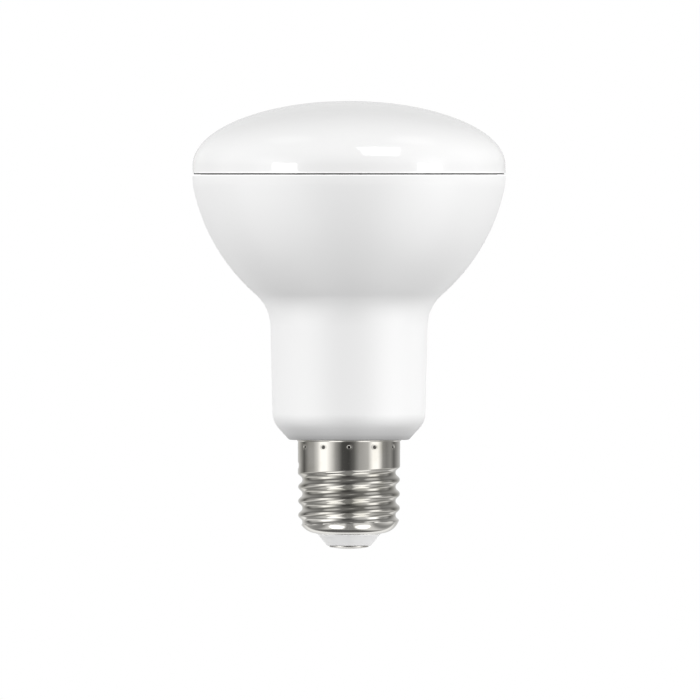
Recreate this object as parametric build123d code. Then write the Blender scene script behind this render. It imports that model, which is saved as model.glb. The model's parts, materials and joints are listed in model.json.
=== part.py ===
"""LED reflector lamp on a screw cap: opal cover, bowl-shaped housing, cap shell, insulator and contact.

Millimetres. The lamp's axis is Z, the tip of the centre contact is the origin and the cover faces up.
Every section below is drawn as (radius, height) and turned about Z.
"""
from build123d import *
import math
import os

# Heights along the axis, from the contact tip upwards
cap_height = 27.9  # contact tip to the foot of the housing
housing_height = 68.0  # foot of the housing to the joint line of the cover
cover_rim = 2.2  # straight rim of the cover above the joint line
crown_rise = 16.4  # half-elliptical crown above that rim
crown_sweep = 75  # degrees of that ellipse, up to a round cap at the axis

# Joint between cover and housing
lamp_radius = 40.0
joint_gap = 0.2  # open line all round
rim_edge = 0.25  # broken edges of the two rims at that line

# Cover
cover_wall = 1.6
skirt_wall = 1.5
skirt_depth = 4.0  # below the joint line, down to the seat
cover_fit = 0.1  # around the skirt

# Housing
rim_wall = 2.0  # raised rim around the skirt
rim_band = 2.4  # straight band below the joint line
rim_blend = 9.0  # soft turn from the band into the bowl
bowl_depth = 33.7  # joint line down to the corner where bowl and neck meet
bowl_radius = 49.4  # curve of the bowl in section
neck_blend = 11.0
neck_top_radius = 20.2
neck_foot_radius = 19.5
shoulder_rise = 4.6  # sloping shoulder between the neck and the foot
shoulder_blend = 6.0
foot_radius = 15.3
foot_round = 0.3
spigot_reach = 14.0  # how far the housing goes into the cap
spigot_fit = 0.1
spigot_edge = 0.6

# Cap shell: rolled sheet with a rounded screw thread
sheet = 0.3
mouth_gap = 0.12  # shadow line between the shell's mouth and the foot
lip_proud = 0.1
lip_height = 0.8
lip_edge = 0.25
collar_radius = 13.15
thread_radius = 13.1  # over the crests
thread_depth = 1.05
thread_pitch = 3.629
crest_round = 1.1
crest_arc = 60  # degrees of the round crest, between its straight flanks
flank_angle = 48  # degrees between a flank and the axis
crest_start = 6.78  # height of the lowest whole crest, on the +X side
thread_turns = 4
thread_runout = 0.65  # how far the top crest goes up inside the plain collar
shoulder_radius = 11.15  # corner where the lower end turns in
shoulder_height = 4.62
shoulder_slope = 1.1  # rise over radius of the sloping part that trims the thread's lower end
shoulder_round = 2.5
throat_radius = 8.0  # hole at the lower end, around the insulator
throat_height = 3.7

# Crimp pits around the collar
crimp_count = 12
crimp_radius = 0.6
crimp_depth = 0.2
crimp_drop = 1.75  # below the foot of the housing

# Insulator and contact
insulator_fit = 0.1
insulator_tip_radius = 5.6
insulator_tip_edge = 0.4
insulator_reveal = 0.05  # start of its cone below the throat
flange_top = 8.5
contact_radius = 5.0
contact_height = 0.85
contact_dome = 0.5
stem_radius = 1.5
stem_length = 6.0
stem_fit = 0.1

# Places worked out from the sizes above
joint_height = cap_height + housing_height
seat_height = joint_height - skirt_depth
skirt_radius = lamp_radius - rim_wall - cover_fit
collar_bore = collar_radius - sheet
root_radius = thread_radius - thread_depth
thread_bore = root_radius - sheet
collar_foot = crest_start + thread_turns * thread_pitch - thread_runout  # lower edge of the plain collar
collar_step = collar_foot + sheet  # where the bore widens into the collar
mouth_height = cap_height - mouth_gap
crimp_height = cap_height - crimp_drop


def rounded(section, corners):
    """Round corners of a section, each given as (radius, height, rounding)."""
    for radius, height, rounding in corners:
        corner = section.vertices().sort_by_distance((radius, height, 0))[0]
        section = fillet(corner, rounding)
    return section


def turned(section):
    """Turn a (radius, height) section about the lamp's axis, starting at the back."""
    return revolve(Plane.YZ * section, Axis.Z)


def crown(radius, rise, foot):
    """Section of a low dome: an ellipse from its foot, closed at the axis by a nearly tangent round cap."""
    flank = EllipticalCenterArc((0, foot), radius, rise, arc_size=crown_sweep)
    cap = TangentArc((0, foot + rise), flank @ 1, tangent=(1, 0))
    return [flank, cap]


def make_cover():
    rim_bottom = joint_height + joint_gap / 2
    crown_foot = joint_height + cover_rim
    crown_top = crown_foot + crown_rise
    ledge_top = rim_bottom + cover_wall
    skirt_inside = skirt_radius - skirt_wall
    inside = lamp_radius - cover_wall
    outline = [
        *crown(lamp_radius, crown_rise, crown_foot),
        *crown(inside, crown_rise - cover_wall, crown_foot),
        Line((0, crown_top), (0, crown_top - cover_wall)),
        Polyline(
            (inside, crown_foot),
            (inside, ledge_top),
            (skirt_inside, ledge_top),
            (skirt_inside, seat_height),
            (skirt_radius, seat_height),
            (skirt_radius, rim_bottom),
            (lamp_radius - rim_edge, rim_bottom),
            (lamp_radius, rim_bottom + rim_edge),
            (lamp_radius, crown_foot),
        ),
    ]
    return turned(make_face(Curve() + outline))


def make_housing():
    rim_top = joint_height - joint_gap / 2
    recess = lamp_radius - rim_wall
    band_foot = joint_height - rim_band
    neck_top = joint_height - bowl_depth
    neck_foot = cap_height + shoulder_rise
    collar_spigot = collar_bore - spigot_fit
    thread_spigot = thread_bore - spigot_fit
    spigot_step = collar_step + spigot_fit
    spigot_end = cap_height - spigot_reach
    outline = [
        Polyline(
            (lamp_radius, band_foot),
            (lamp_radius, rim_top - rim_edge),
            (lamp_radius - rim_edge, rim_top),
            (recess, rim_top),
            (recess, seat_height),
            (0, seat_height),
            (0, spigot_end),
            (thread_spigot - spigot_edge, spigot_end),
            (thread_spigot, spigot_end + spigot_edge),
            (thread_spigot, spigot_step),
            (collar_spigot, spigot_step),
            (collar_spigot, cap_height),
            (foot_radius, cap_height),
            (neck_foot_radius, neck_foot),
            (neck_top_radius, neck_top),
        ),
        RadiusArc((lamp_radius, band_foot), (neck_top_radius, neck_top), bowl_radius),
    ]
    corners = [
        (lamp_radius, band_foot, rim_blend),
        (neck_top_radius, neck_top, neck_blend),
        (neck_foot_radius, neck_foot, shoulder_blend),
        (foot_radius, cap_height, foot_round),
    ]
    return turned(rounded(make_face(Curve() + outline), corners))


def ridge_section():
    """Section of the thread's ridge: a round crest on two straight flanks, sunk a little into the wall."""
    half_arc = math.radians(crest_arc / 2)
    crest_centre = thread_radius - crest_round
    flank_top = (crest_centre + crest_round * math.cos(half_arc), crest_round * math.sin(half_arc))
    sunk_radius = root_radius - sheet / 2
    sunk_half = flank_top[1] + (flank_top[0] - sunk_radius) / math.tan(math.radians(flank_angle))
    crest = ThreePointArc((flank_top[0], -flank_top[1]), (thread_radius, 0), flank_top)
    sides = Polyline(
        flank_top,
        (sunk_radius, sunk_half),
        (sunk_radius, -sunk_half),
        (flank_top[0], -flank_top[1]),
    )
    return make_face(Curve() + [crest, sides])


def make_ridge():
    """The right-handed ridge, from a turn below the lowest whole crest up to its end inside the collar."""
    path_start = (0, 0, crest_start - thread_pitch)
    path = Helix(thread_pitch, (thread_turns + 1) * thread_pitch, thread_radius, path_start)
    return sweep(Pos(*path_start) * (Plane.XZ * ridge_section()), path, is_frenet=True)


def shoulder_at(radius):
    """Height of the sloping lower end, outside, at a radius."""
    return shoulder_height + (radius - shoulder_radius) * shoulder_slope


def make_cap_shell():
    lip_foot = mouth_height - lip_height
    lip_radius = collar_radius + lip_proud
    clear_radius = collar_radius + thread_depth
    clear_foot = crest_start - 2 * thread_pitch
    blank = Polyline(
        (0, mouth_height),
        (lip_radius - lip_edge, mouth_height),
        (lip_radius, mouth_height - lip_edge),
        (lip_radius, lip_foot),
        (collar_radius, lip_foot - lip_proud),
        (collar_radius, collar_foot),
        (root_radius, collar_foot - (collar_radius - root_radius)),
        (root_radius, throat_height),
        (0, throat_height),
        close=True,
    )
    below_shoulder = Polyline(
        (throat_radius, throat_height),
        (shoulder_radius, shoulder_height),
        (clear_radius, shoulder_at(clear_radius)),
        (clear_radius, clear_foot),
        (throat_radius, clear_foot),
        close=True,
    )
    hollow = Polyline(
        (0, cap_height),
        (collar_bore, cap_height),
        (collar_bore, collar_step),
        (thread_bore, collar_step - (collar_bore - thread_bore)),
        (thread_bore, shoulder_at(thread_bore) + sheet),
        (shoulder_radius, shoulder_height + sheet),
        (throat_radius, throat_height + sheet),
        (throat_radius, 0),
        (0, 0),
        close=True,
    )
    shoulder = [(shoulder_radius, shoulder_height, shoulder_round)]
    shell = turned(make_face(blank)) + make_ridge()
    shell -= turned(rounded(make_face(below_shoulder), shoulder))
    shell -= turned(make_face(hollow))
    pit = Cylinder(crimp_radius, 2 * crimp_depth)
    outwards = Rot(0, 90, 0) * Pos(0, 0, collar_radius)
    angles = [360 / crimp_count * place for place in range(crimp_count)]
    return shell - [Pos(0, 0, crimp_height) * Rot(0, 0, angle) * outwards * pit for angle in angles]


def make_insulator():
    hole = stem_radius + stem_fit
    neck = throat_radius - insulator_fit
    flange = thread_bore - insulator_fit
    rest = sheet + insulator_fit
    flange_foot = shoulder_at(flange) + rest
    outline = Polyline(
        (hole, contact_height),
        (insulator_tip_radius - insulator_tip_edge, contact_height),
        (insulator_tip_radius, contact_height + insulator_tip_edge),
        (neck, throat_height - insulator_reveal),
        (neck, throat_height + rest),
        (shoulder_radius, shoulder_height + rest),
        (flange, flange_foot),
        (flange, flange_top),
        (hole, flange_top),
        close=True,
    )
    return turned(make_face(outline))


def make_contact():
    stem_top = contact_height + stem_length
    outline = [
        Polyline(
            (contact_radius, contact_dome),
            (contact_radius, contact_height),
            (stem_radius, contact_height),
            (stem_radius, stem_top),
            (0, stem_top),
            (0, 0),
        ),
        TangentArc((0, 0), (contact_radius, contact_dome), tangent=(1, 0)),
    ]
    return turned(make_face(Curve() + outline))


pieces = {
    "diffuser_cover": make_cover,
    "housing": make_housing,
    "cap_shell": make_cap_shell,
    "cap_insulator": make_insulator,
    "centre_contact": make_contact,
}

os.makedirs("parts", exist_ok=True)
for name, make in pieces.items():
    export_step(make(), f"parts/{name}.step")
    print("wrote", name)
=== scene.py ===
import json
import math

import bmesh
import bpy
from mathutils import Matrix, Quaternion, Vector

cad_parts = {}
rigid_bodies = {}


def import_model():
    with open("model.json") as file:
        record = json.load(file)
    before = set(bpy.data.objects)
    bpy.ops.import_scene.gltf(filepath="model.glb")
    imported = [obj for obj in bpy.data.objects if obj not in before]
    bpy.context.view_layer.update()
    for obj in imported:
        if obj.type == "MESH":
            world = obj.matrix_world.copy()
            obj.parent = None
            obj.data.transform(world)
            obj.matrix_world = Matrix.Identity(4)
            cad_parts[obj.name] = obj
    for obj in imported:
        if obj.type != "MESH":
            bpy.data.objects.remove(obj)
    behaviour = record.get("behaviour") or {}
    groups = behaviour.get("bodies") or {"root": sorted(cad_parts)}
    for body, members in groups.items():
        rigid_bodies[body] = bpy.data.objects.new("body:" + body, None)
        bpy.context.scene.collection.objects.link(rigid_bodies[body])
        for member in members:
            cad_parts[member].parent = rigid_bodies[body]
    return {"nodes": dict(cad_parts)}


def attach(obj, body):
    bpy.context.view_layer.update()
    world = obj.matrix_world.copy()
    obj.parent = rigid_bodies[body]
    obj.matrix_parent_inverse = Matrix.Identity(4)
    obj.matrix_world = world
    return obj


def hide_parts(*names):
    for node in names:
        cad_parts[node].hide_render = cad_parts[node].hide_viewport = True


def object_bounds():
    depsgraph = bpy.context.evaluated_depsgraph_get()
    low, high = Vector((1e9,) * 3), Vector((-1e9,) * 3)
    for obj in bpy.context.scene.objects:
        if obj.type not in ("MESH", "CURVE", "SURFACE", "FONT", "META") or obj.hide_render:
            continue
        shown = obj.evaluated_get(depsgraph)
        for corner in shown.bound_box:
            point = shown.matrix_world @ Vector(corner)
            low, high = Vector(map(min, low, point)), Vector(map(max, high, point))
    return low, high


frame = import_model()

cadLow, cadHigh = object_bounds()
mm = 0.001
turnSteps = 192  # faces around every turned piece
sharpAngle = 40  # degrees; a turned edge past this stays crisp
mergeReach = 1e-6  # metres; points nearer than this become one
plasticIndex = 1.49  # index of refraction of both mouldings
print("frame loaded:", ", ".join(sorted(frame["nodes"])))


# Node wiring, used by the materials, the world and the cap's geometry tree
class Wire:
    # one socket of a tree; an operator on it adds a Math node
    def __init__(self, bench, socket):
        self.bench = bench
        self.socket = socket

    def pick(self, name):
        return Wire(self.bench, self.socket.node.outputs[name])

    def maths(self, operation, *values):
        sockets = dict(enumerate([self, *values]))
        return self.bench.add("ShaderNodeMath", {"operation": operation}, sockets)

    def swapped(self, operation, value):
        return self.bench.add("ShaderNodeMath", {"operation": operation}, {0: value, 1: self})

    def __add__(self, other):
        return self.maths("ADD", other)

    def __radd__(self, other):
        return self.maths("ADD", other)

    def __sub__(self, other):
        return self.maths("SUBTRACT", other)

    def __rsub__(self, other):
        return self.swapped("SUBTRACT", other)

    def __mul__(self, other):
        return self.maths("MULTIPLY", other)

    def __rmul__(self, other):
        return self.maths("MULTIPLY", other)

    def __truediv__(self, other):
        return self.maths("DIVIDE", other)

    def __rtruediv__(self, other):
        return self.swapped("DIVIDE", other)

    def __abs__(self):
        return self.maths("ABSOLUTE")

    def __round__(self):
        return self.maths("ROUND")


class Bench:
    # a node tree to add to
    def __init__(self, tree):
        self.tree = tree
        self.tree.nodes.clear()

    def add(self, kind, settings, sockets):
        node = self.tree.nodes.new(kind)
        for key, value in settings.items():
            if key == "stops":
                self.setStops(node.color_ramp, value)
            else:
                setattr(node, key, value)
        for key, value in sockets.items():
            socket = self.find(node, key)
            if isinstance(value, Wire):
                self.tree.links.new(value.socket, socket)
            else:
                socket.default_value = value
        shown = [outlet for outlet in node.outputs if outlet.enabled]
        return Wire(self, shown[0]) if shown else node

    def find(self, node, key):
        if isinstance(key, int):
            return node.inputs[key]
        return next(s for s in node.inputs if s.enabled and key in (s.identifier, s.name))

    def setStops(self, ramp, stops):
        while len(ramp.elements) < len(stops):
            ramp.elements.new(1.0)
        for element, (place, level) in zip(ramp.elements, stops):
            element.position = place
            element.color = (level, level, level, 1.0)

    def ramp(self, value, stops):
        return self.add("ShaderNodeValToRGB", {"stops": stops}, {"Fac": value})

    # nodes that several trees use
    def fade(self, value, start, end):
        return self.add("ShaderNodeMapRange", {"interpolation_type": "SMOOTHSTEP"},
                        {"Value": value, "From Min": start, "From Max": end})

    def noise(self, place, scale, detail):
        return self.add("ShaderNodeTexNoise", {}, {"Vector": place, "Scale": scale, "Detail": detail})

    def mixColour(self, factor, first, second):
        return self.add("ShaderNodeMix", {"data_type": "RGBA"},
                        {"Factor_Float": factor, "A_Color": first, "B_Color": second})


def newMaterial(name):
    material = bpy.data.materials.new(name)
    material.use_nodes = True
    return material, Bench(material.node_tree)


def closeMaterial(bench, sockets, bumps):
    # bumps: (height wire, strength, depth in metres), laid one on the other
    normal = None
    for height, strength, depth in bumps:
        inputs = {"Height": height, "Strength": strength, "Distance": depth}
        if normal is not None:
            inputs["Normal"] = normal
        normal = bench.add("ShaderNodeBump", {}, inputs)
    shader = bench.add("ShaderNodeBsdfPrincipled", {}, {**sockets, "Normal": normal})
    bench.add("ShaderNodeOutputMaterial", {}, {"Surface": shader})


def grey(level, warmth=0.0):
    return (level * (1 + warmth), level, level * (1 - warmth), 1.0)


# Finishes, with lengths in metres
# joint line: painted shadow (dark) inside the groove and painted highlight (pale) on its two edges
paintedJointLight = {
    "height": 0.09586, "half": 0.00020, "rim": 0.03985, "dark": 0.04,
    "pale": 1.0, "highlightFrom": 0.00062, "highlightTo": 0.00048,
}


def jointShadowAndHighlight(bench, place, tint, roughness):
    # painted shadow inside the groove between cover and housing, painted highlight on the two edges beside
    # it
    part = bench.add("ShaderNodeSeparateXYZ", {}, {"Vector": place})
    radius = (part.pick("X") * part.pick("X") + part.pick("Y") * part.pick("Y")).maths("SQRT")
    away = abs(part.pick("Z") - paintedJointLight["height"])
    outside = radius.maths("GREATER_THAN", paintedJointLight["rim"])
    inside = (1 - outside) * away.maths("LESS_THAN", paintedJointLight["half"])
    # painted highlight: pale colour on both edges of the joint
    edges = bench.fade(away, paintedJointLight["highlightFrom"], paintedJointLight["highlightTo"]) * outside
    tint = bench.mixColour(edges, tint, grey(paintedJointLight["pale"]))
    # painted shadow: dark colour inside the groove
    tint = bench.mixColour(inside, tint, grey(paintedJointLight["dark"]))
    return tint, inside + (1 - inside) * roughness, 1 - inside


opalLook = {
    "pale": 0.845, "dull": 0.825, "warmth": 0.002, "cloudScale": 45.0,
    "gloss": 0.06, "haze": 0.10, "hazeScale": 160.0,
    "coat": 0.35, "coatRoughness": 0.02,
    "waveScale": 70.0, "waveDepth": 0.00012,
}


def opalPlastic():
    material, bench = newMaterial("opalPlastic")
    place = bench.add("ShaderNodeTexCoord", {}, {}).pick("Object")
    cloud = bench.noise(place, opalLook["cloudScale"], 3.0)
    haze = bench.noise(place, opalLook["hazeScale"], 2.0)
    wave = bench.noise(place, opalLook["waveScale"], 1.0)
    tint = bench.mixColour(cloud, grey(opalLook["dull"]), grey(opalLook["pale"], opalLook["warmth"]))
    roughness = opalLook["gloss"] + haze * (opalLook["haze"] - opalLook["gloss"])
    # painted shadow in the joint's groove and painted highlight on its edges
    tint, roughness, outsideGroove = jointShadowAndHighlight(bench, place, tint, roughness)
    closeMaterial(bench, {
        "Base Color": tint,
        "Roughness": roughness,
        "Coat Weight": outsideGroove * opalLook["coat"],
        "Coat Roughness": opalLook["coatRoughness"],
        "IOR": plasticIndex,
    }, [(wave, 1.0, opalLook["waveDepth"])])
    return material


satinLook = {
    "pale": 0.83, "dull": 0.81, "cloudScale": 30.0,
    "smooth": 0.32, "rough": 0.40,
    "grainScale": 2200.0, "grainDepth": 0.000006,
    "waveScale": 60.0, "waveDepth": 0.00008,
    # painted shade darkens the moulding towards its foot: share of the height from low to high, level
    "footLow": 0.0275, "footHigh": 0.0345,
    "paintedFootShade": [(0.0, 0.48), (0.14, 0.57), (0.25, 0.71), (0.47, 0.85), (0.76, 0.91), (1.0, 1.0)],
}


def satinPlastic():
    material, bench = newMaterial("satinWhitePlastic")
    place = bench.add("ShaderNodeTexCoord", {}, {}).pick("Object")
    cloud = bench.noise(place, satinLook["cloudScale"], 4.0)
    grain = bench.noise(place, satinLook["grainScale"], 2.0)
    wave = bench.noise(place, satinLook["waveScale"], 1.0)
    tint = bench.mixColour(cloud, grey(satinLook["dull"]), grey(satinLook["pale"]))
    height = bench.add("ShaderNodeSeparateXYZ", {}, {"Vector": place}).pick("Z")
    aboveFoot = (height - satinLook["footLow"]) / (satinLook["footHigh"] - satinLook["footLow"])
    # painted shade towards the foot, multiplied into the colour
    tint = bench.add("ShaderNodeMix", {"data_type": "RGBA", "blend_type": "MULTIPLY"}, {
        "Factor_Float": 1.0, "A_Color": tint, "B_Color": bench.ramp(aboveFoot, satinLook["paintedFootShade"]),
    })
    roughness = satinLook["smooth"] + grain * (satinLook["rough"] - satinLook["smooth"])
    # painted shadow in the joint's groove and painted highlight on its edges
    tint, roughness, _ = jointShadowAndHighlight(bench, place, tint, roughness)
    closeMaterial(bench, {
        "Base Color": tint,
        "Roughness": roughness,
        "IOR": plasticIndex,
    }, [(wave, 1.0, satinLook["waveDepth"]), (grain, 1.0, satinLook["grainDepth"])])
    return material


nickelLook = {
    "bright": (0.70, 0.68, 0.635, 1.0), "stained": (0.60, 0.58, 0.52, 1.0),
    "stainScale": 130.0, "stainFade": (0.42, 0.72),
    "polished": 0.06, "dulled": 0.12, "smearScale": 260.0,
    "rollScale": 9000.0, "rollDepth": 0.0000012,
    "dentScale": 320.0, "dentDepth": 0.000007,
    # painted shade: near-black plate in the crimp pits, by radius, above the height pitFrom
    "pit": (0.04, 0.039, 0.036, 1.0), "pitFade": (0.0130, 0.01285), "pitFrom": 0.0235,
    # a little olive in the thread's grooves, by radius, and paler plate on the lower end, by height, which
    # is painted light
    "olive": (0.58, 0.56, 0.47, 1.0), "grooveFade": (0.0127, 0.0121), "oliveShare": 0.12,
    "paintedLightPlate": (0.88, 0.86, 0.81, 1.0), "paintedLightFade": (0.0087, 0.0080),
}


def nickelPlate():
    material, bench = newMaterial("nickelPlate")
    place = bench.add("ShaderNodeTexCoord", {}, {}).pick("Object")
    part = bench.add("ShaderNodeSeparateXYZ", {}, {"Vector": place})
    height = part.pick("Z")
    radius = (part.pick("X") * part.pick("X") + part.pick("Y") * part.pick("Y")).maths("SQRT")
    onCollar = height.maths("GREATER_THAN", nickelLook["pitFrom"])
    # painted shade inside the crimp pits
    paintedPitShade = bench.fade(radius, *nickelLook["pitFade"]) * onCollar
    inGroove = bench.fade(radius, *nickelLook["grooveFade"]) * (1 - onCollar)
    stain = bench.fade(bench.noise(place, nickelLook["stainScale"], 4.0), *nickelLook["stainFade"])
    plate = bench.mixColour(stain, nickelLook["bright"], nickelLook["stained"])
    plate = bench.mixColour(inGroove * nickelLook["oliveShare"], plate, nickelLook["olive"])
    # painted light: paler plate towards the lower end
    paintedLightShare = bench.fade(height, *nickelLook["paintedLightFade"])
    plate = bench.mixColour(paintedLightShare, plate, nickelLook["paintedLightPlate"])
    smear = bench.noise(place, nickelLook["smearScale"], 5.0)
    dent = bench.noise(place, nickelLook["dentScale"], 1.0)
    rolled = bench.add("ShaderNodeTexNoise", {"noise_dimensions": "1D"},
                       {"W": height, "Scale": nickelLook["rollScale"], "Detail": 2.0})
    closeMaterial(bench, {
        "Base Color": bench.mixColour(paintedPitShade, plate, nickelLook["pit"]),
        "Metallic": 1.0,
        "Roughness": nickelLook["polished"] + smear * (nickelLook["dulled"] - nickelLook["polished"]),
    }, [(dent, 1.0, nickelLook["dentDepth"]), (rolled, 1.0, nickelLook["rollDepth"])])
    return material


insulatorLook = {
    "pale": 0.92, "dull": 0.88, "warmth": 0.004, "cloudScale": 180.0,
    "smooth": 0.30, "rough": 0.42,
    "grainScale": 1800.0, "grainDepth": 0.000006,
}


def paleInsulator():
    material, bench = newMaterial("paleInsulator")
    place = bench.add("ShaderNodeTexCoord", {}, {}).pick("Object")
    cloud = bench.noise(place, insulatorLook["cloudScale"], 4.0)
    grain = bench.noise(place, insulatorLook["grainScale"], 3.0)
    pale = grey(insulatorLook["pale"], insulatorLook["warmth"])
    closeMaterial(bench, {
        "Base Color": bench.mixColour(cloud, grey(insulatorLook["dull"]), pale),
        "Roughness": insulatorLook["smooth"] + grain * (insulatorLook["rough"] - insulatorLook["smooth"]),
    }, [(grain, 1.0, insulatorLook["grainDepth"])])
    return material


contactLook = {
    "bright": (0.86, 0.84, 0.80, 1.0), "dull": (0.70, 0.68, 0.63, 1.0),
    "patchScale": 420.0, "patchFade": (0.4, 0.7),
    "polished": 0.18, "worn": 0.42,
    "dimpleScale": 900.0, "dimpleDepth": 0.00003,
}


def tinnedContact():
    material, bench = newMaterial("tinnedContact")
    place = bench.add("ShaderNodeTexCoord", {}, {}).pick("Object")
    patch = bench.noise(place, contactLook["patchScale"], 4.0)
    dimple = bench.noise(place, contactLook["dimpleScale"], 2.0)
    dulled = bench.fade(patch, *contactLook["patchFade"])
    closeMaterial(bench, {
        "Base Color": bench.mixColour(dulled, contactLook["bright"], contactLook["dull"]),
        "Metallic": 1.0,
        "Roughness": contactLook["polished"] + patch * (contactLook["worn"] - contactLook["polished"]),
    }, [(dimple, 1.0, contactLook["dimpleDepth"])])
    return material


finishes = {
    "opal": opalPlastic(), "satin": satinPlastic(), "nickel": nickelPlate(),
    "insulator": paleInsulator(), "contact": tinnedContact(),
}
print("finishes made:", len(finishes))


# Sections, as (radius, height) in millimetres, with the largest step between points
def along(start, end, t):
    return (start[0] + (end[0] - start[0]) * t, start[1] + (end[1] - start[1]) * t)


def run(start, end, step=0.6):
    count = max(2, math.ceil(math.dist(start, end) / step))
    return [along(start, end, i / count) for i in range(count + 1)]


def arc(centre, radius, fromDeg, toDeg, count):
    angles = [math.radians(fromDeg + (toDeg - fromDeg) * i / count) for i in range(count + 1)]
    return [(centre[0] + radius * math.cos(a), centre[1] + radius * math.sin(a)) for a in angles]


def softCorners(corners, step=0.6, arcSteps=8):
    # straight runs through (radius, height, rounding), with a round at each inner corner
    path = [corners[0][:2]]
    for before, corner, after in zip(corners, corners[1:], corners[2:]):
        point = Vector(corner[:2])
        back = (Vector(before[:2]) - point).normalized()
        ahead = (Vector(after[:2]) - point).normalized()
        if corner[2] == 0:
            path += run(path[-1], corner[:2], step)
            continue
        half = back.angle(ahead) / 2
        reach = corner[2] / math.tan(half)
        centre = point + (back + ahead).normalized() * corner[2] / math.sin(half)
        first = point + back * reach - centre
        turn = first.angle_signed(point + ahead * reach - centre)
        startAngle = math.atan2(first.y, first.x)
        path += run(path[-1], point + back * reach, step)
        path += arc(centre, corner[2], math.degrees(startAngle), math.degrees(startAngle - turn), arcSteps)
    return path + run(path[-1], corners[-1][:2], step)


def tidyPath(path):
    kept = [path[0]]
    for point in path[1:]:
        if math.dist(point, kept[-1]) > 1e-4:
            kept.append(point)
    return kept


def pathMesh(name, path, closed):
    points = tidyPath(path)
    edges = [(i, i + 1) for i in range(len(points) - 1)]
    if closed:
        edges.append((len(points) - 1, 0))
    mesh = bpy.data.meshes.new(name)
    mesh.from_pydata([(r * mm, 0, z * mm) for r, z in points], edges, [])
    return mesh


def addPiece(name, mesh):
    piece = bpy.data.objects.new(name, mesh)
    bpy.context.scene.collection.objects.link(piece)
    return piece


def bakedMesh(piece):
    # the evaluated shape as a plain mesh, with doubles merged and faces turned outwards
    graph = bpy.context.evaluated_depsgraph_get()
    mesh = bpy.data.meshes.new_from_object(piece.evaluated_get(graph))
    shape = bmesh.new()
    shape.from_mesh(mesh)
    bmesh.ops.remove_doubles(shape, verts=shape.verts, dist=1e-7)
    bmesh.ops.recalc_face_normals(shape, faces=shape.faces)
    shape.to_mesh(mesh)
    shape.free()
    mesh.shade_smooth()
    mesh.set_sharp_from_angle(angle=math.radians(sharpAngle))
    return mesh


def settle(piece, mesh, node, slotName):
    piece.modifiers.clear()
    piece.data = mesh
    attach(piece, "root")
    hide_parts(node)
    print("made", piece.name, "with", len(mesh.polygons), "faces")


def turnedPiece(name, path, finish, node, slotName, closed=False):
    piece = addPiece(name, pathMesh(name + "Path", path, closed))
    lathe = piece.modifiers.new("lathe", "SCREW")
    lathe.axis = "Z"
    lathe.steps = turnSteps
    lathe.render_steps = turnSteps
    lathe.use_merge_vertices = True
    lathe.merge_threshold = mergeReach
    mesh = bakedMesh(piece)
    mesh.materials.clear()
    mesh.materials.append(finish)
    settle(piece, mesh, node, slotName)


# Opal cover: half-elliptical crown on a short rim, with a skirt inside the housing
cover = {
    "radius": 40.0, "joint": 95.87, "gap": 0.3, "rim": 2.23, "rise": 16.4, "wall": 1.6,
    "edge": 0.08, "step": 39.65, "stepShare": 0.95,  # step behind the gap, and how much of the gap it fills
    "skirtRadius": 37.9, "skirtWall": 1.5, "skirtDepth": 4.0, "crownSteps": 72,
}


def crownPath(radius, rise, foot, steps):
    # from the axis outwards
    angles = [math.pi / 2 * i / steps for i in range(steps + 1)]
    return [(radius * math.sin(a), foot + rise * math.cos(a)) for a in angles]


def makeCover():
    foot = cover["joint"] + cover["rim"]
    bottom = cover["joint"] + cover["gap"] / 2
    seat = cover["joint"] - cover["skirtDepth"]
    inside = cover["radius"] - cover["wall"]
    skirtInside = cover["skirtRadius"] - cover["skirtWall"]
    stepFoot = bottom - cover["gap"] * cover["stepShare"]
    outer = crownPath(cover["radius"], cover["rise"], foot, cover["crownSteps"])
    inner = crownPath(inside, cover["rise"] - cover["wall"], foot, cover["crownSteps"] // 2)
    rim = softCorners([
        (cover["radius"], foot, 0),
        (cover["radius"], bottom, cover["edge"]),
        (cover["step"], bottom, 0),
        (cover["step"], stepFoot, 0),
        (cover["skirtRadius"], stepFoot, 0),
        (cover["skirtRadius"], seat, 0),
        (skirtInside, seat, 0),
        (skirtInside, bottom + cover["wall"], 0),
        (inside, bottom + cover["wall"], 0),
        (inside, foot, 0),
    ])
    turnedPiece("opalCover", outer + rim + inner[::-1], finishes["opal"], "diffuser_cover", "opal_plastic")


# Satin housing: straight band, round bowl, neck, sloping shoulder and a spigot in the cap
housing = {
    "radius": 40.0, "joint": 95.85, "gap": 0.34, "rimWall": 2.0, "rimEdge": 0.10, "seatDepth": 4.0,
    "band": 2.4, "rimBlend": 9.0, "bowlDepth": 33.7, "bowlRadius": 49.4, "neckBlend": 11.0,
    "neckTop": 20.2, "neckFoot": 19.5, "foot": 27.9, "shoulderRise": 4.6, "shoulderBlend": 6.0,
    "footRadius": 15.3, "footEdge": 1.0, "spigotRadius": 12.75, "spigotStep": 21.05, "plugRadius": 11.65,
    "plugEdge": 0.6, "plugEnd": 13.9,
    "rimStep": 0.8, "rimTurnSteps": 8, "bowlSteps": 90, "neckTurnSteps": 24,
    "footStep": 0.6, "footTurnSteps": 16,
}


def arcCentre(start, end, radius):
    # centre of the arc that bulges away from the axis between two points
    first = Vector(start)
    chord = Vector(end) - first
    inwards = Vector((chord.y, -chord.x)).normalized()
    return first + chord / 2 + inwards * math.sqrt(radius ** 2 - chord.length_squared / 4)


def blendCentre(point, direction, centre, distance):
    # place on a line at a distance from the bowl's centre, the nearer one along the line
    offset = point - centre
    half = offset.dot(direction)
    return point + direction * (-half - math.sqrt(half ** 2 - offset.length_squared + distance ** 2))


def degreesOf(vector):
    return math.degrees(math.atan2(vector.y, vector.x))


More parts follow.
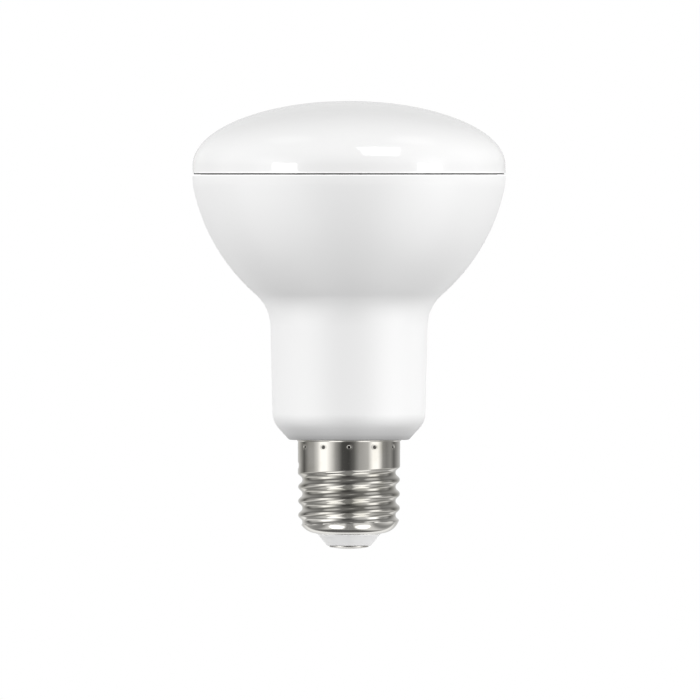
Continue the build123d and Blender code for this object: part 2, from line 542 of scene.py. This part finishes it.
def makeHousing():
    bandFoot = housing["joint"] - housing["band"]
    neckTop = Vector((housing["neckTop"], housing["joint"] - housing["bowlDepth"]))
    neckFoot = Vector((housing["neckFoot"], housing["foot"] + housing["shoulderRise"]))
    bowl = arcCentre((housing["radius"], bandFoot), neckTop, housing["bowlRadius"])

    # round turn from the band into the bowl
    rimLine = Vector((housing["radius"] - housing["rimBlend"], housing["joint"]))
    rimCentre = blendCentre(rimLine, Vector((0, 1)), bowl, housing["bowlRadius"] - housing["rimBlend"])
    rimAngle = degreesOf(rimCentre - bowl)

    # hollow turn from the bowl into the neck
    up = (neckTop - neckFoot).normalized()
    outwards = Vector((up.y, -up.x))
    neckLine = neckFoot + outwards * housing["neckBlend"]
    neckCentre = blendCentre(neckLine, up, bowl, housing["bowlRadius"] + housing["neckBlend"])
    neckAngle = degreesOf(neckCentre - bowl)
    neckStart = neckCentre - outwards * housing["neckBlend"]

    rimTop = housing["joint"] - housing["gap"] / 2
    recess = housing["radius"] - housing["rimWall"]
    seat = housing["joint"] - housing["seatDepth"]
    rim = softCorners([
        (0, seat, 0),
        (recess, seat, 0),
        (recess, rimTop, 0),
        (housing["radius"], rimTop, housing["rimEdge"]),
        (housing["radius"], rimCentre.y, 0),
    ], housing["rimStep"])
    turnIn = arc(rimCentre, housing["rimBlend"], 0, rimAngle, housing["rimTurnSteps"])
    bulge = arc(bowl, housing["bowlRadius"], rimAngle, neckAngle, housing["bowlSteps"])
    neckTurn = degreesOf(-outwards) + 360 * (neckAngle > 0)
    turnOut = arc(neckCentre, housing["neckBlend"], neckAngle + 180, neckTurn, housing["neckTurnSteps"])
    foot = softCorners([
        (neckStart.x, neckStart.y, 0),
        (neckFoot.x, neckFoot.y, housing["shoulderBlend"]),
        (housing["footRadius"], housing["foot"], housing["footEdge"]),
        (housing["spigotRadius"], housing["foot"], 0),
        (housing["spigotRadius"], housing["spigotStep"], 0),
        (housing["plugRadius"], housing["spigotStep"], 0),
        (housing["plugRadius"], housing["plugEnd"] + housing["plugEdge"], 0),
        (housing["plugRadius"] - housing["plugEdge"], housing["plugEnd"], 0),
        (0, housing["plugEnd"], 0),
    ], housing["footStep"], housing["footTurnSteps"])
    turnedPiece("housingBody", rim + turnIn + bulge + turnOut + foot, finishes["satin"],
                "housing", "white_plastic")


# Pale insulator, held in the lower end of the cap
insulator = {
    "hole": 1.6, "tip": 0.85, "tipRadius": 5.6, "tipEdge": 0.45, "neck": 7.9, "throat": 3.65,
    "under": 4.1, "flange": 10.9, "flangeFoot": 5.1, "top": 8.5, "step": 0.4,
}


def makeInsulator():
    path = softCorners([
        (insulator["hole"], insulator["tip"], 0),
        (insulator["tipRadius"], insulator["tip"], insulator["tipEdge"]),
        (insulator["neck"], insulator["throat"], 0),
        (insulator["neck"], insulator["under"], 0),
        (insulator["flange"], insulator["flangeFoot"], 0),
        (insulator["flange"], insulator["top"], 0),
        (insulator["hole"], insulator["top"], 0),
    ], insulator["step"])
    turnedPiece("insulatorCone", path, finishes["insulator"],
                "cap_insulator", "insulator_plastic", closed=True)


# Centre contact: shallow dome with a stem
contact = {
    "radius": 5.0, "dome": 0.5, "height": 0.85, "edge": 0.12, "stem": 1.5, "stemTop": 6.85,
    "domeSteps": 24, "step": 0.4,
}


def makeContact():
    ballRadius = (contact["radius"] ** 2 + contact["dome"] ** 2) / (2 * contact["dome"])
    sweep = math.degrees(math.asin(contact["radius"] / ballRadius))
    dome = arc((0, ballRadius), ballRadius, -90, -90 + sweep, contact["domeSteps"])
    plate = softCorners([
        (contact["radius"], contact["dome"], 0),
        (contact["radius"], contact["height"], contact["edge"]),
        (contact["stem"], contact["height"], 0),
        (contact["stem"], contact["stemTop"], 0),
        (0, contact["stemTop"], 0),
    ], contact["step"])
    turnedPiece("centreContact", dome + plate, finishes["contact"], "centre_contact", "contact_metal")


# Rolled cap: a geometry tree turns the section, rolls the thread into it and punches the crimp pits
cap = {
    "mouth": 27.88, "lipRadius": 13.34, "lipRound": 0.10, "lipSweep": (90, -60), "lipFoot": 27.48,
    "collar": 13.07, "threadTop": 22.6, "threadFoot": 0.9,  # threadFoot counts from the shoulder's top
    "shoulderTop": 8.7, "shoulderRadius": 13.0, "shoulderDrop": 4.75,
    "shoulderSweep": 84, "shoulderSteps": 56,
    "throatRadius": 8.0, "throat": 3.7, "throatRound": 0.15, "throatLift": 0.05,
    "insideOut": 2.9, "insideUp": 1.3,  # sheet's inner side above the throat
    "threadBore": 11.75, "boreFoot": 6.6, "boreSlope": 1.1, "collarBore": 12.85, "boreStep": 20.95,
    "crest": 13.0, "pitch": 3.629, "groove": 12.26, "crestRound": 0.90, "rootRound": 1.03, "flank": 48.0,
    "runoutStart": 2.3, "runoutEnd": 2.65, "runoutRise": 0.4, "blend": 0.12,  # turns, then millimetres
    "topLift": 0.14, "topFrom": (1.2, 1.5), "topHalf": (0.2, 0.5),  # upper flank of the top groove
    "crimps": 12, "crimpHeight": 26.15, "crimpRadius": 0.55, "crimpDepth": 0.45, "crimpRim": 0.03,
    "crimpBand": 0.8, "pitFade": (0.15, 1.0), "rimRise": (0.85, 1.15), "rimFall": (1.15, 1.6),
    "columns": 32, "crowd": 0.3,  # columns per crimp, and their spacing at a pit against an even one
    "mouthStep": 0.3, "lipStep": 0.06, "aboveCrimpStep": 0.15, "crimpStep": 0.07, "collarStep": 0.4,
    "threadStep": 0.125, "throatStep": 0.15, "insideStep": 1.2, "boreRun": 6.0, "collarBoreRun": 3.0,
}


def capSection():
    lipCentre = (cap["lipRadius"] - cap["lipRound"], cap["mouth"] - cap["lipRound"])
    lip = arc(lipCentre, cap["lipRound"], *cap["lipSweep"], 10)
    lipFoot = (cap["collar"], cap["lipFoot"])
    crimpTop = (cap["collar"], cap["crimpHeight"] + cap["crimpBand"])
    crimpFoot = (cap["collar"], cap["crimpHeight"] - cap["crimpBand"])
    threadTop = (cap["collar"], cap["threadTop"])
    threadFoot = (cap["collar"], cap["shoulderTop"] + cap["threadFoot"])
    inner, throat, rounding = cap["throatRadius"], cap["throat"], cap["throatRound"]
    outwards = cap["shoulderRadius"] - inner
    steps = cap["shoulderSteps"]
    swing = [math.radians(cap["shoulderSweep"] * i / steps) for i in range(steps + 1)]
    shoulder = [(inner + outwards * math.cos(t), cap["shoulderTop"] - cap["shoulderDrop"] * math.sin(t))
                for t in swing]
    throatCentre = (inner, throat + cap["throatLift"] + rounding)
    insideFoot = (inner - rounding, throatCentre[1] + rounding)
    insideTop = (inner + cap["insideOut"], throat + cap["insideUp"])
    boreTop = (cap["threadBore"], cap["boreStep"] - cap["boreSlope"])
    collarBoreTop = (cap["collarBore"], cap["mouth"])
    return [
        *run(collarBoreTop, lip[0], cap["mouthStep"]),
        *lip,
        *run(lip[-1], lipFoot, cap["lipStep"]),
        *run(lipFoot, crimpTop, cap["aboveCrimpStep"]),
        *run(crimpTop, crimpFoot, cap["crimpStep"]),
        *run(crimpFoot, threadTop, cap["collarStep"]),
        *run(threadTop, threadFoot, cap["threadStep"]),
        *run(threadFoot, shoulder[0], cap["threadStep"]),
        *shoulder,
        *run(shoulder[-1], (inner, throat + cap["throatLift"]), cap["throatStep"]),
        *arc(throatCentre, rounding, -90, -180, 4),
        *run(insideFoot, insideTop, cap["insideStep"]),
        *run((cap["threadBore"], cap["boreFoot"]), boreTop, cap["boreRun"]),
        *run((cap["collarBore"], cap["boreStep"]), collarBoreTop, cap["collarBoreRun"]),
    ]


def capTree(rowCount):
    tree = bpy.data.node_groups.new("rolledCap", "GeometryNodeTree")
    tree.interface.new_socket("Section", in_out="INPUT", socket_type="NodeSocketGeometry")
    sizes = {
        "Crest Radius": cap["crest"] * mm, "Pitch": cap["pitch"] * mm, "Groove Height": cap["groove"] * mm,
        "Crest Round": cap["crestRound"] * mm, "Root Round": cap["rootRound"] * mm,
        "Flank Angle": math.radians(cap["flank"]),
        "Runout Start": cap["runoutStart"], "Runout End": cap["runoutEnd"], "Top Lift": cap["topLift"] * mm,
        "Crimp Count": cap["crimps"], "Crimp Height": cap["crimpHeight"] * mm,
        "Crimp Radius": cap["crimpRadius"] * mm, "Crimp Depth": cap["crimpDepth"] * mm,
        "Crimp Rim": cap["crimpRim"] * mm, "Columns per Crimp": cap["columns"],
    }
    for name in sizes:
        tree.interface.new_socket(name, in_out="INPUT", socket_type="NodeSocketFloat")
    tree.interface.new_socket("Metal", in_out="INPUT", socket_type="NodeSocketMaterial")
    tree.interface.new_socket("Cap", in_out="OUTPUT", socket_type="NodeSocketGeometry")
    bench = Bench(tree)
    given = bench.add("NodeGroupInput", {}, {})
    size = {name: given.pick(name) for name in sizes}

    # one grid row for each point of the section, columns crowded together at the pits
    columns = size["Crimp Count"] * size["Columns per Crimp"]
    grid = bench.add("GeometryNodeMeshGrid", {}, {
        "Size X": columns, "Size Y": rowCount - 1.0,
        "Vertices X": columns + 1, "Vertices Y": rowCount,
    })
    gridPoint = bench.add("GeometryNodeInputPosition", {}, {})
    place = bench.add("ShaderNodeSeparateXYZ", {}, {"Vector": gridPoint})
    sector = (place.pick("X") + columns / 2) / size["Columns per Crimp"]
    middle = round(sector)
    aside = sector - middle
    bent = aside * cap["crowd"] + aside * aside * aside * (4 * (1 - cap["crowd"]))
    angle = (middle + bent) * (math.tau / size["Crimp Count"]) - math.pi / 2
    row = round(place.pick("Y") + (rowCount - 1) / 2)
    sectionPoint = bench.add("GeometryNodeSampleIndex", {"data_type": "FLOAT_VECTOR"}, {
        "Geometry": given.pick("Section"),
        "Value": bench.add("GeometryNodeInputPosition", {}, {}),
        "Index": row,
    })
    section = bench.add("ShaderNodeSeparateXYZ", {}, {"Vector": sectionPoint})
    height = section.pick("Z")

    # knuckle thread: round crest and wider root with a short flank between, running out into the collar
    sine = size["Flank Angle"].maths("SINE")
    slope = size["Flank Angle"].maths("TANGENT")

    def arcThenFlank(along, rounding):
        onArc = along.maths("MINIMUM", rounding * sine)
        return rounding - (rounding * rounding - onArc * onArc).maths("SQRT") + (along - onArc) * slope

    turn = angle / math.tau
    coil = (height - size["Groove Height"]) / size["Pitch"] - turn
    nearest = round(coil)
    fromRoot = abs(coil - nearest) * size["Pitch"]
    fromCrest = size["Pitch"] / 2 - fromRoot
    rootReach = size["Root Round"] * sine
    fall = arcThenFlank(fromCrest, size["Crest Round"])
    floor = arcThenFlank(rootReach, size["Root Round"])
    floor = floor + arcThenFlank(size["Pitch"] / 2 - rootReach, size["Crest Round"])
    inRoot = fromRoot.maths("LESS_THAN", rootReach)
    cut = fall + inRoot * (floor - arcThenFlank(fromRoot, size["Root Round"]) - fall)
    runout = bench.fade(nearest + turn, size["Runout Start"], size["Runout End"])
    topTurn = bench.fade(nearest + turn, *cap["topFrom"]) * bench.fade(coil - nearest, *cap["topHalf"])
    threadRadius = size["Crest Radius"] - (1 - runout) * cut + runout * (cap["runoutRise"] * mm)
    threadRadius = threadRadius + topTurn * size["Top Lift"]
    radius = section.pick("X").maths("SMOOTH_MIN", threadRadius, cap["blend"] * mm)

    # punched pit with a slightly raised rim
    across = bent * (math.tau / size["Crimp Count"]) * size["Crest Radius"]
    rise = height - size["Crimp Height"]
    reach = (across * across + rise * rise).maths("SQRT") / size["Crimp Radius"]
    pit = 1 - bench.fade(reach, *cap["pitFade"])
    rim = bench.fade(reach, *cap["rimRise"]) * (1 - bench.fade(reach, *cap["rimFall"]))
    radius = radius - pit * size["Crimp Depth"] + rim * size["Crimp Rim"]

    moved = bench.add("ShaderNodeCombineXYZ", {}, {
        "X": radius * angle.maths("COSINE"), "Y": radius * angle.maths("SINE"), "Z": height,
    })
    shell = bench.add("GeometryNodeSetPosition", {}, {"Geometry": grid, "Position": moved})
    shell = bench.add("GeometryNodeMergeByDistance", {}, {"Geometry": shell, "Distance": mergeReach})
    shell = bench.add("GeometryNodeRealizeInstances", {}, {"Geometry": shell})
    shell = bench.add("GeometryNodeSetMaterial", {}, {"Geometry": shell, "Material": given.pick("Metal")})
    bench.add("NodeGroupOutput", {}, {"Cap": shell})
    return tree, sizes


def makeCap():
    section = pathMesh("capSection", capSection(), False)
    tree, sizes = capTree(len(section.vertices))
    piece = addPiece("threadedCap", section)
    roller = piece.modifiers.new("rolledCap", "NODES")
    roller.node_group = tree
    values = {**sizes, "Metal": finishes["nickel"]}
    for item in tree.interface.items_tree:
        if item.in_out == "INPUT" and item.name in values:
            roller[item.identifier] = values[item.name]
    settle(piece, bakedMesh(piece), "cap_shell", "nickel_shell")


makeCover()
makeHousing()
makeInsulator()
makeContact()
makeCap()


# Studio: white for the camera, light and dark surroundings for reflections, a glow by height for shading
studio = {
    # reflections: degrees around from the camera's side, level
    "ring": [
        (-180, 0.75), (-150, 0.62), (-122, 0.12), (-104, 0.40), (-88, 0.48), (-76, 0.85), (-67, 1.5),
        (-52, 1.5), (-30, 0.42), (-16, 0.09), (0, 0.065), (11, 0.15), (24, 0.46), (44, 0.62), (56, 1.5),
        (69, 1.5), (83, 0.37), (94, 0.27), (108, 0.36), (122, 0.15), (150, 0.50), (180, 0.75),
    ],
    # the same above the lamp
    "high": [
        (-180, 0.42), (-150, 0.32), (-130, 0.22), (-90, 0.18), (-50, 0.24), (-15, 0.12),
        (15, 0.12), (50, 0.24), (90, 0.18), (130, 0.22), (150, 0.32), (180, 0.42),
    ],
    "highFade": (0.18, 0.68),
    # below, by side and depth: two pale tables that widen forwards, a dark gap between them and
    # dark ground behind; the fades are ranges of the direction's side, depth or height
    "middle": 0.02,
    "table": {"level": 1.55, "side": 0.31, "slant": 0.267, "half": 0.185, "fan": 0.22,
              "tilt": 0.45, "depth": 0.19, "reach": 0.29, "core": 0.7},
    "gap": 0.27, "gapFade": (0.08, 0.17), "frontFade": (-0.30, -0.14),
    "ground": 0.12, "groundShift": 0.06, "groundFan": 0.4, "groundFade": (0.06, 0.18),
    "floor": 0.68, "floorOut": 0.24, "floorFade": (0.46, 0.66),
    "behind": 0.9, "nearFade": (-0.80, -0.72), "behindFade": (-0.20, -0.45),
    "lowFade": (-0.24, -0.79), "sunkFade": (-0.14, -0.42),
    "sideLow": 0.95, "sideFade": (0.55, 0.75), "rearLow": 0.45, "rearFade": (-0.72, -0.88),
    # the same above: two dim panels overhead
    "roof": {"level": 0.72, "side": 0.37, "half": 0.17, "depth": -0.20, "reach": 0.20, "core": 0.1},
    "patchEnd": 1.3,
    # shading: sine of the height, level; then how it leans and dims by direction
    "glow": [
        (-1.0, 0.40), (-0.6, 0.76), (-0.35, 1.45), (-0.1, 2.24), (0.25, 2.32), (0.6, 0.60), (1.0, 1.25),
    ],
    "rightward": 0.055, "axisDim": 0.20, "lowAxisDim": 1.65, "sideways": 0.20, "shading": 0.943,
}
panels = [
    # gloss on one piece each: azimuth from the camera's side and lift in degrees, sizes in metres
    {"name": "leftPanel", "lights": "opalCover", "azimuth": -48.0, "lift": -22.0, "away": 1.2,
     "wide": 0.465, "tall": 1.40, "roll": 0.0, "glow": 4.5},
    {"name": "rightPanel", "lights": "opalCover", "azimuth": 61.2, "lift": -22.5, "away": 1.2,
     "wide": 0.455, "tall": 1.38, "roll": 0.0, "glow": 4.5},
    {"name": "upperPanel", "lights": "opalCover", "azimuth": 31.0, "lift": 52.5, "away": 1.2,
     "wide": 0.50, "tall": 0.64, "roll": -13.0, "glow": 5.0},
    {"name": "leftSoft", "lights": "housingBody", "azimuth": -62.0, "lift": -31.0, "away": 1.2,
     "wide": 1.3, "tall": 1.1, "roll": 0.0, "glow": 1.6},
    {"name": "rightSoft", "lights": "housingBody", "azimuth": 60.0, "lift": -29.0, "away": 1.2,
     "wide": 1.2, "tall": 1.1, "roll": 0.0, "glow": 1.85},
]
aim = Vector((0, 0, 0.097))  # about the cover's rim
# the photograph's metal mirrors only the studio, not the lamp itself
mirrorless = ["opalCover", "housingBody", "threadedCap", "insulatorCone", "centreContact"]


def directionOf(azimuth, lift):
    a = math.radians(azimuth)
    e = math.radians(lift)
    return Vector((math.sin(a) * math.cos(e), -math.cos(a) * math.cos(e), math.sin(e)))


def makePanel(panel):
    light = bpy.data.lights.new(panel["name"], "AREA")
    light.shape = "RECTANGLE"
    light.size = panel["wide"]
    light.size_y = panel["tall"]
    light.energy = panel["glow"] * math.pi * panel["wide"] * panel["tall"]
    lamp = addPiece(panel["name"], light)
    lamp.location = aim + directionOf(panel["azimuth"], panel["lift"]) * panel["away"]
    facing = (aim - lamp.location).to_track_quat("-Z", "Y")
    lamp.rotation_euler = (facing @ Quaternion((0, 0, 1), math.radians(panel["roll"]))).to_euler()
    lamp.visible_camera = False
    lamp.visible_diffuse = False
    lit = bpy.data.collections.new(panel["name"] + "Lit")
    lit.objects.link(bpy.data.objects[panel["lights"]])
    lamp.light_linking.receiver_collection = lit


def makeWorld():
    world = bpy.data.worlds.new("studio")
    world.use_nodes = True
    world.cycles.sampling_method = "NONE"
    bpy.context.scene.world = world
    bench = Bench(world.node_tree)
    ray = bench.add("ShaderNodeLightPath", {}, {})
    towards = bench.add("ShaderNodeTexCoord", {}, {}).pick("Generated")
    part = bench.add("ShaderNodeSeparateXYZ", {}, {"Vector": towards})
    height = part.pick("Z")
    around = part.pick("X").maths("ARCTAN2", 0 - part.pick("Y")) / math.tau + 0.5
    ring, high = [bench.ramp(around, [(degrees / 360 + 0.5, level) for degrees, level in studio[name]])
                  for name in ("ring", "high")]

    # what stands below and above, laid out by side and depth
    def patch(across, inward, core):
        return 1 - bench.fade(across * across + inward * inward, core, studio["patchEnd"])

    table, roof = studio["table"], studio["roof"]
    depth = 0 - part.pick("Y")
    side = abs(part.pick("X") - studio["middle"])
    slant = side - depth * table["slant"]
    front = bench.fade(depth, *studio["frontFade"])
    near = bench.fade(depth, *studio["nearFade"])
    onTable = patch((slant - table["side"]) / (depth * table["fan"] + table["half"]),
                    (side * table["tilt"] + depth - table["depth"]) / table["reach"], table["core"])
    onRoof = patch((side - roof["side"]) / roof["half"],
                   (depth - roof["depth"]) / roof["reach"], roof["core"])
    gap = front * (1 - bench.fade(side, *studio["gapFade"]))
    fromGround = abs(part.pick("X") + studio["groundShift"]) + depth * studio["groundFan"]
    ground = (1 - front) * near * (1 - bench.fade(fromGround, *studio["groundFade"]))
    fartherOut = bench.fade(slant, *studio["floorFade"])
    low = fartherOut * (studio["floorOut"] - studio["floor"]) + studio["floor"]
    for share, level in [(gap, studio["gap"]), (ground, studio["ground"]), (1 - near, studio["behind"]),
                         (onTable, table["level"])]:
        low = low + share * (level - low)

    above = bench.fade(height, *studio["highFade"])
    below = bench.fade(height, *studio["lowFade"])
    below = below.maths("MAXIMUM", (1 - near) * bench.fade(height, *studio["behindFade"]))
    sunk = bench.fade(height, *studio["sunkFade"])
    sides = bench.fade(side, *studio["sideFade"]) * sunk
    rear = bench.fade(depth, *studio["rearFade"]) * sunk
    level = bench.mixColour(above, ring, bench.mixColour(onRoof, high, grey(roof["level"])))
    level = bench.mixColour(sides, level, grey(studio["sideLow"]))
    level = bench.mixColour(rear, level, grey(studio["rearLow"]))
    mirrored = bench.mixColour(below, level, low)
    shade = bench.ramp(height * 0.5 + 0.5, [(sine / 2 + 0.5, level) for sine, level in studio["glow"]])
    # dimmer from the front and from behind than from the sides
    across = part.pick("X")
    dim = (0 - height).maths("MAXIMUM", 0) * studio["lowAxisDim"] + studio["axisDim"]
    lean = (1 - abs(depth) * dim).maths("MAXIMUM", 0)
    lean = lean * (across * studio["rightward"] + studio["shading"])
    lean = lean * (across * across * studio["sideways"] + 1)
    lit = bench.add("ShaderNodeVectorMath", {"operation": "SCALE"}, {"Vector": shade, "Scale": lean})
    cast = bench.mixColour(ray.pick("Is Glossy Ray"), lit, mirrored)
    white = ray.pick("Is Camera Ray").maths("MAXIMUM", ray.pick("Is Transmission Ray"))
    colour = bench.mixColour(white, cast, grey(1.0))
    sky = bench.add("ShaderNodeBackground", {}, {"Color": colour, "Strength": 1.0})
    bench.add("ShaderNodeOutputWorld", {}, {"Surface": sky})


for panel in panels:
    makePanel(panel)
for name in mirrorless:
    bpy.data.objects[name].visible_glossy = False
makeWorld()
bpy.context.scene.view_settings.view_transform = "Standard"
print("studio lit")


# Camera: a long lens level with the joint line, as in the photograph
view = {
    "pixels": 700, "perMillimetre": 3.9125, "axisPixel": 349.0, "tipPixel": 548.9,
    "distance": 6.0, "height": 95.9, "sensor": 36.0,
}


def makeCamera():
    half = view["pixels"] / 2
    target = Vector((half - view["axisPixel"], 0, view["tipPixel"] - half)) * (mm / view["perMillimetre"])
    lens = bpy.data.cameras.new("camera")
    lens.sensor_width = view["sensor"]
    lens.lens = view["sensor"] * view["distance"] * view["perMillimetre"] / (view["pixels"] * mm)
    camera = addPiece("camera", lens)
    camera.location = (target.x, -view["distance"], view["height"] * mm)
    camera.rotation_euler = (target - camera.location).to_track_quat("-Z", "Y").to_euler()
    bpy.context.scene.camera = camera


makeCamera()
seenLow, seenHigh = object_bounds()
{"cad": [list(cadLow), list(cadHigh)], "visual": [list(seenLow), list(seenHigh)]}
